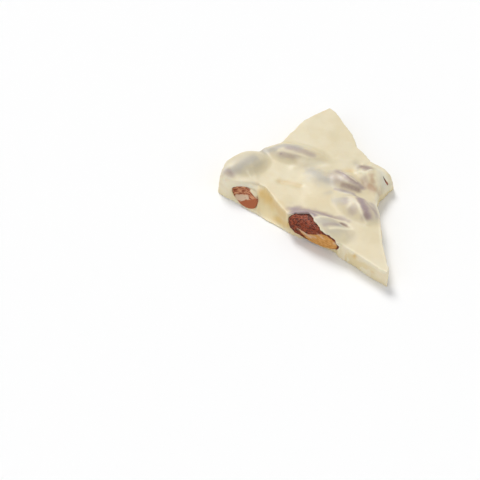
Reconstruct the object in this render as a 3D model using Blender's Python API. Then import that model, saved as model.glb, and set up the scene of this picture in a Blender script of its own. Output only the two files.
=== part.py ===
"""A broken piece of white chocolate bark with whole almonds in it, lying flat on its underside.

The frame: +Z is up, +Y is away from the viewer, and the origin is under the middle of the piece. Sizes
in this file are in millimetres, and become metres where a mesh is made.
"""

import math

import bmesh
import bpy
import numpy as np
from mathutils import Matrix, Vector, noise
from mathutils.geometry import delaunay_2d_cdt

MM = 0.001

# The poured slab: its thickness, thicker to the left and thinner at the right-hand corner
SLAB = 6.4
LEFT_SWELL = 0.9
LEFT_SWELL_FROM = -15.0
LEFT_SWELL_TO = -24.0
CORNER_DROP = 2.4
CORNER = (32.0, 2.0)
CORNER_REACH = 9.0
WAVE_HEIGHT = 0.22
WAVE_LENGTH = 17.0
FILLET = 0.8

# The broken faces: their upright foot, and how rough they are and over what length
FOOT = 0.5
FACE_ROUGHNESS = 0.3
FACE_ROUGH_LENGTH = 4.0

# Unevenness of the bottom and top edges: length and depth of each wave
JAGS = ((6.0, 0.35), (2.3, 0.18))

# Mesh spacing
EDGE_STEP = 1.6
TOP_STEP = 1.3
EDGE_CLEARANCE = 0.7
SIDE_ROWS = 4
ALMOND_RINGS = 18
ALMOND_SIDES = 20
SHARP_ANGLE = 40

# The middle of the piece in the plan that the sizes below are measured in
MIDDLE = (0.097, 0.468)

# The break around the piece, anticlockwise from its left corner. Each station is the x and y of the
# bottom edge, the x and y of the top edge above it, and how scooped the face between them is: 1 is
# straight, less bulges, and more makes it hollow, with a ledge below.
BREAK = (
    (-31.2, 4.1, -30.5, 4.6, 0.9),
    (-29.1, 1.7, -28.3, 2.8, 0.8),
    (-26.2, -0.7, -25.9, 1.9, 1.2),
    (-23.4, -3.1, -23.0, 1.5, 1.0),
    (-20.4, -5.7, -19.9, 1.3, 0.65),
    (-17.2, -8.5, -16.9, 1.0, 0.62),
    (-15.0, -10.5, -14.8, -0.6, 1.3),
    (-12.9, -12.4, -12.6, -4.4, 2.1),
    (-10.7, -14.3, -10.6, -8.6, 1.8),
    (-8.7, -16.0, -8.6, -12.4, 1.4),
    (-6.8, -17.5, -7.0, -15.4, 1.0),
    (-4.0, -19.7, -4.4, -16.6, 1.0),
    (-1.4, -21.9, -2.0, -17.4, 1.0),
    (0.8, -23.4, 0.4, -17.5, 1.0),
    (2.4, -24.7, 2.0, -19.6, 1.0),
    (4.3, -25.9, 3.9, -23.2, 1.0),
    (5.4, -26.7, 4.6, -25.6, 1.0),
    (7.6, -28.2, 7.5, -28.0, 1.0),
    (10.7, -30.7, 10.5, -30.4, 1.0),
    (13.9, -33.7, 13.7, -33.6, 1.0),
    (17.1, -37.1, 17.0, -37.0, 1.0),
    (20.3, -40.3, 20.3, -40.4, 1.0),
    (23.5, -43.2, 23.4, -43.4, 1.0),
    (25.7, -45.0, 25.5, -44.7, 1.0),
    (26.0, -42.2, 26.2, -42.5, 1.0),
    (25.2, -36.2, 25.3, -36.0, 1.0),
    (24.9, -30.9, 24.9, -31.1, 1.0),
    (25.2, -25.0, 24.8, -25.2, 1.0),
    (25.5, -19.6, 24.8, -19.8, 1.0),
    (25.0, -14.2, 24.3, -14.6, 1.0),
    (24.8, -5.0, 24.3, -8.2, 1.0),
    (25.9, -1.8, 25.6, -3.4, 1.0),
    (28.6, 1.8, 28.3, -0.2, 1.0),
    (31.2, 5.4, 30.9, 4.2, 1.0),
    (30.6, 8.0, 30.2, 7.2, 1.0),
    (28.0, 10.8, 27.4, 10.3, 1.0),
    (24.0, 14.1, 23.6, 13.6, 1.0),
    (21.7, 19.0, 21.2, 18.6, 1.0),
    (19.3, 22.4, 19.0, 22.0, 1.0),
    (18.2, 29.4, 17.8, 29.1, 1.0),
    (15.7, 34.8, 15.4, 34.5, 1.0),
    (12.6, 43.3, 12.3, 42.8, 1.0),
    (10.2, 45.6, 9.9, 45.2, 1.0),
    (6.5, 43.4, 6.7, 42.9, 1.0),
    (0.3, 38.4, 0.6, 38.0, 1.0),
    (-5.4, 30.6, -5.0, 30.2, 1.0),
    (-8.1, 25.7, -7.7, 25.2, 1.0),
    (-10.8, 23.1, -10.6, 22.5, 1.0),
    (-15.0, 22.0, -14.8, 21.4, 1.0),
    (-17.4, 19.4, -17.0, 18.8, 1.0),
    (-22.0, 17.8, -21.6, 17.3, 1.0),
    (-28.9, 12.0, -28.4, 11.5, 1.0),
)

# Low ridges and creases in the top, as the pour set: points along each, its height and its half-width
RIDGES = (
    (((-4.9, 9.6), (1.6, 12.2), (7.0, 13.6), (12.5, 14.7), (17.0, 13.8)), 0.4, 1.6),
    (((14.6, -7.6), (15.2, -11.4), (13.6, -13.6)), 0.35, 0.9),
    (((16.2, -8.6), (18.0, -13.6), (19.6, -18.6), (20.4, -20.6)), 0.35, 0.9),
    (((4.4, -20.8), (8.8, -20.2), (12.4, -22.4), (14.4, -25.4)), 0.3, 1.0),
    (((-19.2, 8.6), (-17.6, 4.6)), 0.2, 0.8),
    (((-9.0, 2.2), (-5.6, 1.2), (-2.2, -0.2)), -0.3, 1.2),
    (((20.4, 8.0), (20.4, 2.0), (19.6, -3.0)), -0.2, 0.9),
)

# How an almond narrows to its point and to its butt, and how its cover falls away past its outline
POINT_POWER = 0.62
BUTT_POWER = 0.5
COVER_END = 0.96
COVER_END_FALL = 8.0
COVER_FALL = 2.0

# The pocket round an almond, how far its mouth runs out past a cut face, and how the cut through a butt
# leans back and turns
POCKET_GAP = 0.3
POCKET_MOUTH = 1.5
END_CUT_LEAN = 0.91
END_CUT_TURN = 0.38


class Almond:
    """An almond in the slab. heading is where its point faces, in degrees anticlockwise from +X.

    flesh_cut slices it lengthwise at that distance across it, and end_cut takes its butt off at that
    distance along it.
    """

    def __init__(
        self, centre, heading, length, width, height, coat=0.6, flesh_cut=None, end_cut=None
    ):
        self.centre = centre
        self.turn = math.radians(heading)
        self.length = length
        self.width = width
        self.height = height
        self.coat = coat
        self.flesh_cut = flesh_cut
        self.end_cut = end_cut

    def top(self, x, y):
        """Height of the chocolate that covers it at x, y, falling away steeply past its outline."""
        dx, dy = x - self.centre[0], y - self.centre[1]
        c, s = math.cos(self.turn), math.sin(self.turn)
        t = (dx * c + dy * s) / (self.length / 2 + self.coat)
        share = max(almond_section(t), MM)
        across = (dy * c - dx * s) / (share * (self.width / 2 + self.coat))
        r = math.hypot(across, COVER_END_FALL * max(0.0, abs(t) - COVER_END))
        rise = share * math.sqrt(1 - r * r) if r < 1 else COVER_FALL * (1 - r)
        return self.centre[2] + rise * (self.height / 2 + self.coat)


def almond_section(t):
    """An almond's width as a share of its greatest, at t from -1 at the butt to 1 at the point."""
    widest = (BUTT_POWER - POINT_POWER) / (BUTT_POWER + POINT_POWER)
    greatest = (1 - widest) ** POINT_POWER * (1 + widest) ** BUTT_POWER
    t = min(max(t, -1.0), 1.0)
    return (1 - t) ** POINT_POWER * (1 + t) ** BUTT_POWER / greatest


# Almonds that show where the piece broke, and those that the chocolate covers
FRONT = Almond((4.0, -22.0, 4.7), -37.1, 25.0, 12.4, 7.6, coat=0.65, flesh_cut=-2.9)
LEFT = Almond((-20.5, 0.6, 3.0), 70.0, 22.0, 11.4, 4.6, end_cut=-3.3)
RIGHT = Almond((22.9, 5.0, 4.2), -76.0, 15.0, 10.2, 6.6)
COVERED = (
    Almond((-22.8, 10.6, 5.5), 216.0, 20.4, 12.0, 7.6),
    Almond((-2.5, 17.1, 5.1), -16.0, 23.0, 10.4, 7.2),
    Almond((4.4, 5.6, 3.6), 160.0, 19.0, 11.0, 6.4),
    Almond((14.8, 1.0, 4.6), -48.0, 17.5, 9.0, 6.6),
    Almond((17.5, -12.4, 4.6), 141.0, 22.0, 11.6, 7.4),
)

# The crack over the right-hand almond, through which its skin shows
CRACK_SIZE = (0.9, 4.6, 5.0)
CRACK_AT = (28.2, 2.4, 6.6)
CRACK_TURN = 14.0

CHOCOLATE = (0.80, 0.71, 0.50)
CHOCOLATE_ROUGHNESS = 0.45
SKIN = (0.19, 0.05, 0.02)
SKIN_ROUGHNESS = 0.5


def smooth_step(x, start, end):
    """0 at start and 1 at end, easing between them."""
    t = min(max((x - start) / (end - start), 0.0), 1.0)
    return t * t * (3 - 2 * t)


def smooth_max(a, b, radius):
    """The larger of a and b, with a fillet of this radius where they meet."""
    mix = max(radius - abs(a - b), 0.0) / radius
    return max(a, b) + mix * mix * radius / 4


def poured(x, y):
    """Height of the slab's top with no almond under it."""
    swell = LEFT_SWELL * smooth_step(x, LEFT_SWELL_FROM, LEFT_SWELL_TO)
    drop = CORNER_DROP * smooth_step(math.dist((x, y), CORNER), CORNER_REACH, 0.0)
    wave = WAVE_HEIGHT * noise.noise(Vector((x, y, 0.0)) / WAVE_LENGTH)
    return SLAB + swell - drop + wave


def ridge_height(x, y):
    """Height of the ridges, less the depth of the creases, at x, y."""
    total = 0.0
    for points, height, spread in RIDGES:
        nearest = math.inf
        for (x0, y0), (x1, y1) in zip(points, points[1:]):
            dx, dy = x1 - x0, y1 - y0
            t = ((x - x0) * dx + (y - y0) * dy) / (dx * dx + dy * dy)
            t = min(max(t, 0.0), 1.0)
            nearest = min(nearest, math.hypot(x - x0 - t * dx, y - y0 - t * dy))
        total += height * math.exp(-((nearest / spread) ** 2))
    return total


def top_height(x, y):
    """Height of the chocolate's top, with its coats over the almonds."""
    height = poured(x, y)
    for almond in (FRONT, LEFT, RIGHT, *COVERED):
        height = smooth_max(height, almond.top(x, y), FILLET)
    return height + ridge_height(x, y)


def break_stations():
    """Stations at even steps round the break, which way is out at each, and how far along it is."""
    rows = np.array(BREAK + (BREAK[0],))
    middles = (rows[:, 0:2] + rows[:, 2:4]) / 2
    lengths = np.linalg.norm(np.diff(middles, axis=0), axis=1)
    along = np.concatenate([[0], np.cumsum(lengths)])
    at = np.linspace(0, along[-1], round(along[-1] / EDGE_STEP), endpoint=False)
    stations = np.stack([np.interp(at, along, column) for column in rows.T], axis=1)
    ahead = np.roll(stations[:, 2:4], -1, axis=0) - np.roll(stations[:, 2:4], 1, axis=0)
    outward = np.stack([ahead[:, 1], -ahead[:, 0]], axis=1)
    outward /= np.linalg.norm(outward, axis=1)[:, None]
    for i, s in enumerate(at):
        for column in (0, 2):
            jag = sum(depth * noise.noise(Vector((s / length, column, 0))) for length, depth in JAGS)
            stations[i, column : column + 2] += outward[i] * jag
    return stations, outward, at


def inside(points, loop):
    """Whether each point lies inside the closed loop, by counting crossings."""
    x, y = points[:, 0], points[:, 1]
    result = np.zeros(len(points), bool)
    for (x0, y0), (x1, y1) in zip(loop, np.roll(loop, -1, axis=0)):
        if y0 != y1:
            crosses = (y0 > y) != (y1 > y)
            result ^= crosses & (x < (x1 - x0) * (y - y0) / (y1 - y0) + x0)
    return result


def filled_loop(loop):
    """Points and triangles that fill a loop: the loop's points come first, then a grid inside it."""
    low, high = loop.min(axis=0), loop.max(axis=0)
    columns = np.arange(low[0], high[0], TOP_STEP)
    lines = np.arange(low[1], high[1], TOP_STEP * math.sqrt(3) / 2)
    grid = np.array(
        [(x + (line % 2) * TOP_STEP / 2, y) for line, y in enumerate(lines) for x in columns]
    )
    away = np.linalg.norm(grid[:, None] - loop[None], axis=2).min(axis=1)
    grid = grid[inside(grid, loop) & (away > EDGE_CLEARANCE * TOP_STEP)]
    points = np.vstack([loop, grid])
    ring = list(range(len(loop)))
    flat = [Vector(point) for point in points]
    faces, origins = delaunay_2d_cdt(flat, [], [ring], 1, MM * MM)[2:4]
    return points, [[origins[corner][0] for corner in face] for face in faces]


def new_object(name, bm, material):
    """The bmesh, in millimetres of the plan, as an object in metres about the origin."""
    bmesh.ops.recalc_face_normals(bm, faces=bm.faces)
    bmesh.ops.translate(bm, vec=(-MIDDLE[0], -MIDDLE[1], 0), verts=bm.verts)
    bmesh.ops.scale(bm, vec=(MM, MM, MM), verts=bm.verts)
    mesh = bpy.data.meshes.new(name)
    bm.to_mesh(mesh)
    bm.free()
    mesh.shade_smooth()
    mesh.set_sharp_from_angle(angle=math.radians(SHARP_ANGLE))
    mesh.materials.append(material)
    made = bpy.data.objects.new(name, mesh)
    bpy.context.scene.collection.objects.link(made)
    return made


def plain_material(name, colour, roughness):
    material = bpy.data.materials.new(name)
    material.use_nodes = True
    shader = material.node_tree.nodes["Principled BSDF"]
    shader.inputs["Base Color"].default_value = (*colour, 1)
    shader.inputs["Roughness"].default_value = roughness
    shader.inputs["Metallic"].default_value = 0
    return material


def slab_mesh():
    """The chocolate: a flat underside, broken faces all round, and a top that rises over the almonds."""
    stations, outward, at = break_stations()
    bm = bmesh.new()
    rows = [[bm.verts.new((x, y, 0.0)) for x, y in stations[:, :2]]]
    for row in range(SIDE_ROWS):
        share = row / SIDE_ROWS
        ring = []
        for (x0, y0, x1, y1, scoop), (out_x, out_y), s in zip(stations, outward, at):
            rough = FACE_ROUGHNESS * math.sin(math.pi * share)
            rough *= noise.noise(Vector((s / FACE_ROUGH_LENGTH, share, 0.5)))
            x = x0 + (x1 - x0) * share + out_x * rough
            y = y0 + (y1 - y0) * share + out_y * rough
            z = FOOT + (top_height(x1, y1) - FOOT) * share**scoop
            ring.append(bm.verts.new((x, y, z)))
        rows.append(ring)
    points, faces = filled_loop(stations[:, 2:4])
    crown = [bm.verts.new((x, y, top_height(x, y))) for x, y in points]
    count = len(stations)
    rows.append(crown[:count])
    for low, high in zip(rows, rows[1:]):
        for i in range(count):
            j = (i + 1) % count
            bm.faces.new((low[i], low[j], high[j], high[i]))
    for face in faces:
        bm.faces.new([crown[i] for i in face])
    bm.faces.new(rows[0][::-1])
    bmesh.ops.triangulate(bm, faces=bm.faces)
    return bm


def almond_mesh(almond, gap=0.0):
    """An almond's closed surface. With a gap, it is the pocket that holds the almond."""
    long, wide, high = (size / 2 + gap for size in (almond.length, almond.width, almond.height))
    mouth = POCKET_MOUTH if gap else 0.0
    spin = Matrix.Rotation(almond.turn, 3, "Z")
    bm = bmesh.new()

    def place(along, across, up):
        if almond.flesh_cut is not None:
            across = max(across, almond.flesh_cut - mouth)
        if almond.end_cut is not None:
            butt = almond.end_cut - mouth + END_CUT_LEAN * up + END_CUT_TURN * across
            along = max(along, butt)
        return bm.verts.new(spin @ Vector((along, across, up)) + Vector(almond.centre))

    rings = []
    for ring in range(1, ALMOND_RINGS):
        t = -math.cos(math.pi * ring / ALMOND_RINGS)
        share = almond_section(t)
        angles = [2 * math.pi * side / ALMOND_SIDES for side in range(ALMOND_SIDES)]
        rings.append(
            [place(t * long, share * wide * math.cos(a), share * high * math.sin(a)) for a in angles]
        )
    for low, upper in zip(rings, rings[1:]):
        for k in range(ALMOND_SIDES):
            after = (k + 1) % ALMOND_SIDES
            bm.faces.new((low[k], low[after], upper[after], upper[k]))
    for end, ring in ((-1, rings[0]), (1, rings[-1])):
        tip = place(end * long, 0.0, 0.0)
        for k in range(ALMOND_SIDES):
            bm.faces.new((tip, ring[k], ring[(k + 1) % ALMOND_SIDES]))
    bmesh.ops.triangulate(bm, faces=bm.faces)
    return bm


def crack_mesh():
    bm = bmesh.new()
    bmesh.ops.create_cube(bm, size=1.0)
    bmesh.ops.scale(bm, vec=CRACK_SIZE, verts=bm.verts)
    turn = Matrix.Rotation(math.radians(CRACK_TURN), 3, "Z")
    bmesh.ops.rotate(bm, matrix=turn, verts=bm.verts)
    bmesh.ops.translate(bm, vec=CRACK_AT, verts=bm.verts)
    return bm


def cut(target, cutter):
    """Takes the cutter out of the target, by a Boolean that stays on it."""
    cutter.hide_render = True
    cutter.display_type = "WIRE"
    modifier = target.modifiers.new(cutter.name, "BOOLEAN")
    modifier.operation = "DIFFERENCE"
    modifier.object = cutter
    modifier.solver = "EXACT"


def main():
    for old in list(bpy.data.objects):
        bpy.data.objects.remove(old)
    chocolate = plain_material("white_chocolate", CHOCOLATE, CHOCOLATE_ROUGHNESS)
    skin = plain_material("almond_skin", SKIN, SKIN_ROUGHNESS)
    slab = new_object("bark", slab_mesh(), chocolate)
    for side, almond in (("front", FRONT), ("left", LEFT), ("right", RIGHT)):
        new_object(f"almond_{side}", almond_mesh(almond), skin)
        cut(slab, new_object(f"pocket_{side}", almond_mesh(almond, POCKET_GAP), skin))
    cut(slab, new_object("crack", crack_mesh(), skin))


main()
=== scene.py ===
"""A broken piece of white chocolate bark with whole almonds in it, finished to look like the real thing.

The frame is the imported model's: +Z is up, +Y is away from the viewer, and the origin is under the middle
of the piece. Sizes are in millimetres of the plan, and become metres where a mesh is made.
"""

import math

import bmesh
import bpy
import numpy as np
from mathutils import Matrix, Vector, noise
from mathutils.geometry import delaunay_2d_cdt
from mathutils.kdtree import KDTree


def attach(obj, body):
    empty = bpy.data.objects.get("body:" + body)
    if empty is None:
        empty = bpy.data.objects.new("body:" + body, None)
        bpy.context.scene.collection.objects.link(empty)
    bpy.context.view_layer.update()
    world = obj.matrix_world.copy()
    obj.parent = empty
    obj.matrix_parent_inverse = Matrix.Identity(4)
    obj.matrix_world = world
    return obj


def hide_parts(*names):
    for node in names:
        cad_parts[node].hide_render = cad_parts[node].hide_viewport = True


MM = 0.001

# The poured slab: its thickness, thicker to the left and thinner at the right-hand corner
SLAB = 6.4
LEFT_SWELL = 0.9
LEFT_SWELL_X = (-15, -24)
CORNER_DROP = 2.4
CORNER = (32, 2)
CORNER_REACH = 9
WAVE_HEIGHT = 0.22
WAVE_LENGTH = 17
FILLET = 0.8

# Rings that the poured top is evened out over: the radius and number of points of each
SOFT_RINGS = ((0.8, 6), (1.5, 8))

# Smaller unevenness of the poured top: length and height of each wave
TOP_WAVES = ((6.5, 0.10), (2.8, 0.035))

# The broken faces: their upright foot, how rough they are, and their finer grain, less near the edges
FOOT = 0.5
FOOT_ROUND = 0.15
FACE_ROUGHNESS = 0.3
FACE_ROUGH_LENGTH = 4
FACE_LAYER = 0.5
FACE_GRAINS = ((1.5, 0.11), (0.7, 0.05))
FACE_GRAIN_RISE = 5
FACE_GRAIN_LEAST = 0.25

# Unevenness of the bottom and top edges: length and depth of each wave
JAGS = ((6, 0.35), (2.3, 0.18))
FINE_JAGS = ((1.1, 0.10), (0.55, 0.06))
FRAYS = ((1.8, 0.42), (0.95, 0.34))

# How far the rim is rounded: along most of the break, where the coat over the front almond ends,
# on the soft shoulder above the left almond, which is also flattened, and round the notch at the right
RIM = 0.45
RIM_WAVES = ((5, 0.2), (1.3, 0.1))
COAT_RIM = 0.12
SHOULDER_RIM = 2.2
SHOULDER_EASE = 0.75
NOTCH_RIM = 2.3

# How far the foot of the break is set back under the front almond
UNDERCUT = 1.1

# Where those stretches of the break lie: each pair runs from just outside a stretch to just inside it
COAT_X = ((-6.5, -4.5), (11.6, 9.6))
UNDERCUT_X = ((-3.4, -1.4), (10.2, 8.4))
FRONT_Y = -13
SHOULDER_X = ((-15.5, -20), (-30.6, -28.4))
SHOULDER_Y = 7
NOTCH_X = (23.6, 24.6)
NOTCH_Y = ((-10.5, -6), (4.5, 1.5))

# Mesh spacing
EDGE_STEP = 0.34
OUTWARD_REACH = 1.6
TOP_STEP = 0.34
EDGE_CLEARANCE = 0.62
RIM_CLEARANCE = 0.8
SIDE_ROWS = 17
RIM_ROWS = 5
SHARP_ANGLE = 50
MERGE = 1e-6

# Where in the noise each kind of unevenness is read, and how far one seed lies from the next
TOP_SEED = 3
RIM_SEED = 7
JAG_SEED = 11
FRAY_SEED = 21
FACE_SEED = 31
PALE_SEED = 41
YELLOW_SEED = 46
RAGGED_SEED = 47
FLESH_SEED = 51
BUTT_SEED = 52
SMEAR_SEED = 53
WRINKLE_SEED = 61
LUMP_SEED = 65
SEED_STEP = (1, 1.7, 2.3)

# The middle of the piece in the plan that the sizes below are measured in
MIDDLE = (0.097, 0.468)

# The break around the piece, anticlockwise from its left corner. Each station is the x and y of the
# bottom edge, the x and y of the top edge above it, and how scooped the face between them is: 1 is
# straight, less bulges, and more makes it hollow, with a ledge below.
BREAK = (
    (-31.2, 4.1, -30.5, 4.6, 0.9),
    (-29.1, 1.7, -28.3, 2.8, 0.8),
    (-26.2, -0.7, -25.9, 1.9, 1.2),
    (-23.4, -3.1, -23, 1.5, 1),
    (-20.4, -5.7, -19.9, 1.3, 0.65),
    (-17.2, -8.5, -16.9, 1, 0.62),
    (-15, -10.5, -14.8, -0.6, 1.3),
    (-12.9, -12.4, -12.6, -4.4, 2.1),
    (-10.7, -14.3, -10.6, -8.6, 1.8),
    (-8.7, -16, -8.6, -12.4, 1.4),
    (-6.8, -17.5, -7.1, -15.6, 1),
    (-4, -19.7, -4.6, -15.6, 1),
    (-1.4, -21.9, -2, -16.5, 1),
    (0.8, -23.4, 0.3, -16.9, 1),
    (2.4, -24.7, 1.7, -19.9, 1),
    (4.3, -25.9, 3.3, -23.6, 1),
    (5.4, -26.7, 3.6, -25.5, 1),
    (7.6, -28.2, 7.2, -28.3, 1),
    (10.7, -30.7, 10.5, -30.4, 1),
    (13.9, -33.7, 13.7, -33.6, 1),
    (17.1, -37.1, 17, -37, 1),
    (20.3, -40.3, 20.3, -40.4, 1),
    (23.5, -43.2, 23.4, -43.4, 1),
    (25.7, -45, 25.5, -44.7, 1),
    (26, -42.2, 26.2, -42.5, 1),
    (25.2, -36.2, 25.3, -36, 1),
    (24.9, -30.9, 24.9, -31.1, 1),
    (25.2, -25, 24.8, -25.2, 1),
    (25.5, -19.6, 24.8, -19.8, 1),
    (25, -14.2, 24.3, -14.6, 1),
    (24.8, -5, 24.3, -8.2, 1),
    (25.9, -1.8, 25.6, -3.4, 1),
    (28.6, 1.8, 28.3, -0.2, 1),
    (31.2, 5.4, 30.9, 4.2, 1),
    (30.6, 8, 30.2, 7.2, 1),
    (28, 10.8, 27.4, 10.3, 1),
    (24, 14.1, 23.6, 13.6, 1),
    (21.7, 19, 21.2, 18.6, 1),
    (19.3, 22.4, 19, 22, 1),
    (18.2, 29.4, 17.8, 29.1, 1),
    (15.7, 34.8, 15.4, 34.5, 1),
    (12.6, 43.3, 12.3, 42.8, 1),
    (10.2, 45.6, 9.9, 45.2, 1),
    (6.5, 43.4, 6.7, 42.9, 1),
    (0.3, 38.4, 0.6, 38, 1),
    (-5.4, 30.6, -5, 30.2, 1),
    (-8.1, 25.7, -7.7, 25.2, 1),
    (-10.8, 23.1, -10.6, 22.5, 1),
    (-15, 22, -14.8, 21.4, 1),
    (-17.4, 19.4, -17, 18.8, 1),
    (-22, 17.8, -21.6, 17.3, 1),
    (-28.9, 12, -28.4, 11.5, 1),
)

# Low ridges and creases in the top, as the pour set: points along each, its height and its half-width
RIDGES = (
    (((-4, 10), (1.6, 12.2), (7, 13.6), (12.5, 14.7), (17, 13.8)), 0.28, 1.7),
    (((14.6, -7.6), (15.2, -11.4), (13.6, -13.6)), 0.12, 1.2),
    (((16.2, -8.6), (18, -13.6), (19.6, -18.6), (20.4, -20.6)), 0.3, 1),
    (((4.4, -20.8), (8.8, -20.2), (12.4, -22.4), (14.4, -25.4)), 0.2, 1.1),
    (((-19.2, 8.6), (-17.6, 4.6)), 0.2, 0.8),
    (((-9, 2.2), (-5.6, 1.2), (-2.2, -0.2)), -0.3, 1.2),
    (((20.4, 8), (20.4, 2), (19.6, -3)), -0.2, 0.9),
)

# Finer ones, too small to matter to the solid
FINE_RIDGES = (
    (((-11.9, 19.7), (-7.2, 17.1), (-3.3, 15.1), (0.9, 13)), 0.15, 0.6),
    (((12.2, 6), (15.6, 0.4), (18.4, -1.8)), 0.18, 0.45),
    (((17.8, 6.8), (19.5, 6.6), (21.2, 5.5), (23, 6.7)), 0.16, 0.5),
    (((24.6, 2.8), (25.5, -0.2), (26.1, -2.7)), 0.14, 0.5),
    (((20, 11.5), (21.1, 9.7), (22.5, 8.4)), -0.2, 0.5),
    (((11.3, -21), (13.2, -21.5)), -0.25, 0.5),
    (((13.1, -0.9), (15.9, -2.2), (18.3, -3.1)), -0.18, 0.9),
    (((-20.6, 6.2), (-19.4, 3.6)), 0.12, 0.4),
    (((-27.2, 6), (-27.6, 4.6)), -0.12, 0.8),
)

# How an almond narrows to its point and to its butt, and how its cover falls away past its outline
POINT_POWER = 0.62
BUTT_POWER = 0.5
LEAST_SHARE = 0.001
COVER_END = 0.96
COVER_END_FALL = 8
COVER_FALL = 2

# The pocket round an almond, how far its mouth runs out past a cut face, and how the cut through a butt
# leans back and turns
POCKET_GAP = 0.06
POCKET_MOUTH = 1.5
END_CUT_LEAN = 0.91
END_CUT_TURN = 0.38
POCKET_GRID = (60, 72)


def linear(colour):
    """A display colour, 0 to 255 a channel, as the shader's own linear values."""
    shares = [channel / 255 for channel in colour]
    return [c / 12.92 if c <= 0.04045 else ((c + 0.055) / 1.055) ** 2.4 for c in shares]


def eased(x, start, end):
    """0 at start and 1 at end, easing between them."""
    t = np.clip((x - start) / (end - start), 0, 1)
    return t * t * (3 - 2 * t)


def stretch(x, first, last):
    """1 along a stretch of x, easing in over the pair first and out again over the pair last."""
    return eased(x, *first) * eased(x, *last)


def smooth_max(a, b, radius):
    """The larger of a and b, with a fillet of this radius where they meet."""
    mix = np.maximum(radius - np.abs(a - b), 0) / radius
    return np.maximum(a, b) + mix * mix * radius / 4


def smooth_min(a, b, radius):
    """The smaller of a and b, with a fillet of this radius where they meet."""
    return -smooth_max(-a, -b, radius)


def fade(distance, spread, crisp=2):
    """1 at no distance, falling away over the spread. A higher crisp gives a sharper edge."""
    return np.exp(-((distance / spread) ** crisp))


def points_at(*coordinates):
    """Points from their coordinates, each an array or one number for all of them."""
    return np.stack(np.broadcast_arrays(*coordinates), axis=-1)


def grain(points, length, seed=0):
    """Smooth noise at each point, from about -1 to 1, over features of this length."""
    shift = Vector([seed * step for step in SEED_STEP])
    values = [noise.noise(Vector(point) / length + shift) for point in points.reshape(-1, 3)]
    return np.array(values).reshape(points.shape[:-1])


def unevenness(points, waves, seed):
    """The noise of several waves, each with its length and amount, added up at each point."""
    return sum(amount * grain(points, length, seed + k) for k, (length, amount) in enumerate(waves))


def path_distance(points, path):
    """Distance of each point from a path, in as many dimensions as the path has."""
    path = np.array(path, float)
    points = points[..., : path.shape[1]]
    nearest = np.full(points.shape[:-1], np.inf)
    for start, end in zip(path, path[1:]):
        run = end - start
        t = np.clip((points - start) @ run / (run @ run), 0, 1)
        nearest = np.minimum(nearest, np.linalg.norm(points - start - t[..., None] * run, axis=-1))
    return nearest


def plan_tree(points):
    """A tree that finds which of these plan points is the nearest."""
    tree = KDTree(len(points))
    for i, (x, y) in enumerate(points):
        tree.insert((x, y, 0), i)
    tree.balance()
    return tree


class Almond:
    """An almond in the slab. heading is where its point faces, in degrees anticlockwise from +X.

    flesh_cut slices it lengthwise at that distance across it, and end_cut takes its butt off at that
    distance along it. roll turns it about its own length.
    """

    def __init__(
        self, centre, heading, length, width, height, coat=0.6, flesh_cut=None, end_cut=None, roll=0
    ):
        self.centre = np.array(centre)
        self.turn = math.radians(heading)
        self.length = length
        self.width = width
        self.height = height
        self.coat = coat
        self.flesh_cut = flesh_cut
        self.end_cut = end_cut
        self.roll = math.radians(roll)

    def cover(self, x, y):
        """Its share of its full width level with x, y, and how far out over it x, y lies.

        That is 0 above its middle line and 1 above its coated outline.
        """
        dx, dy = x - self.centre[0], y - self.centre[1]
        c, s = math.cos(self.turn), math.sin(self.turn)
        t = (dx * c + dy * s) / (self.length / 2 + self.coat)
        share = np.maximum(almond_section(t), LEAST_SHARE)
        across = (dy * c - dx * s) / (share * (self.width / 2 + self.coat))
        return share, np.hypot(across, COVER_END_FALL * np.maximum(0, np.abs(t) - COVER_END))

    def top(self, x, y):
        """Height of the chocolate that covers it at x, y, falling away steeply past its outline."""
        share, r = self.cover(x, y)
        rise = np.where(r < 1, share * np.sqrt(np.maximum(1 - r * r, 0)), COVER_FALL * (1 - r))
        return self.centre[2] + rise * (self.height / 2 + self.coat)


def almond_section(t):
    """An almond's width as a share of its greatest, at t from -1 at the butt to 1 at the point."""
    widest = (BUTT_POWER - POINT_POWER) / (BUTT_POWER + POINT_POWER)
    greatest = (1 - widest) ** POINT_POWER * (1 + widest) ** BUTT_POWER
    t = np.clip(t, -1, 1)
    return (1 - t) ** POINT_POWER * (1 + t) ** BUTT_POWER / greatest


# Almonds that show where the piece broke, and those that the chocolate covers. The coat over the
# right-hand almond follows RIGHT, and the almond itself is RIGHT_BODY.
FRONT = Almond((4, -22, 4.7), -37.1, 25, 12.4, 7.6, coat=0.65, flesh_cut=-2.9)
LEFT = Almond((-20.5, 0.6, 3.05), 70, 22, 11.4, 4.9, end_cut=-3.3, roll=8)
RIGHT = Almond((22.9, 5, 4.2), -76, 15, 10.2, 6.6)
RIGHT_BODY = Almond((23, 4.9, 4.3), -76, 14.4, 11.1, 6.6)
TOP_LEFT = Almond((-22.8, 10.6, 5.5), 216, 20.4, 12, 7.6)
TOP_BACK = Almond((-2.5, 17.1, 5.1), -16, 23, 10.4, 7.2)
MIDDLE_LEFT = Almond((4.4, 5.6, 3.6), 160, 19, 11, 6.4)
MIDDLE_RIGHT = Almond((14.8, 1, 4.6), -48, 17.5, 9, 6.6)
LOW_RIGHT = Almond((17.5, -12.4, 4.6), 141, 22, 11.6, 7.4)
COVERED = (TOP_LEFT, TOP_BACK, MIDDLE_LEFT, MIDDLE_RIGHT, LOW_RIGHT)

# The front almond's butt stands a little proud of where its flesh is cut, from a line above the cut's
# upper edge and all round the butt's end, and its underside is fuller
BUTT_PROUD = 0.9
PROUD_ALONG = (5, -4)
PROUD_EDGE = (-0.2, 0.5)
PROUD_END = (-6.6, -7.6)
UNDERSIDE_FULLNESS = 1.18

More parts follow.
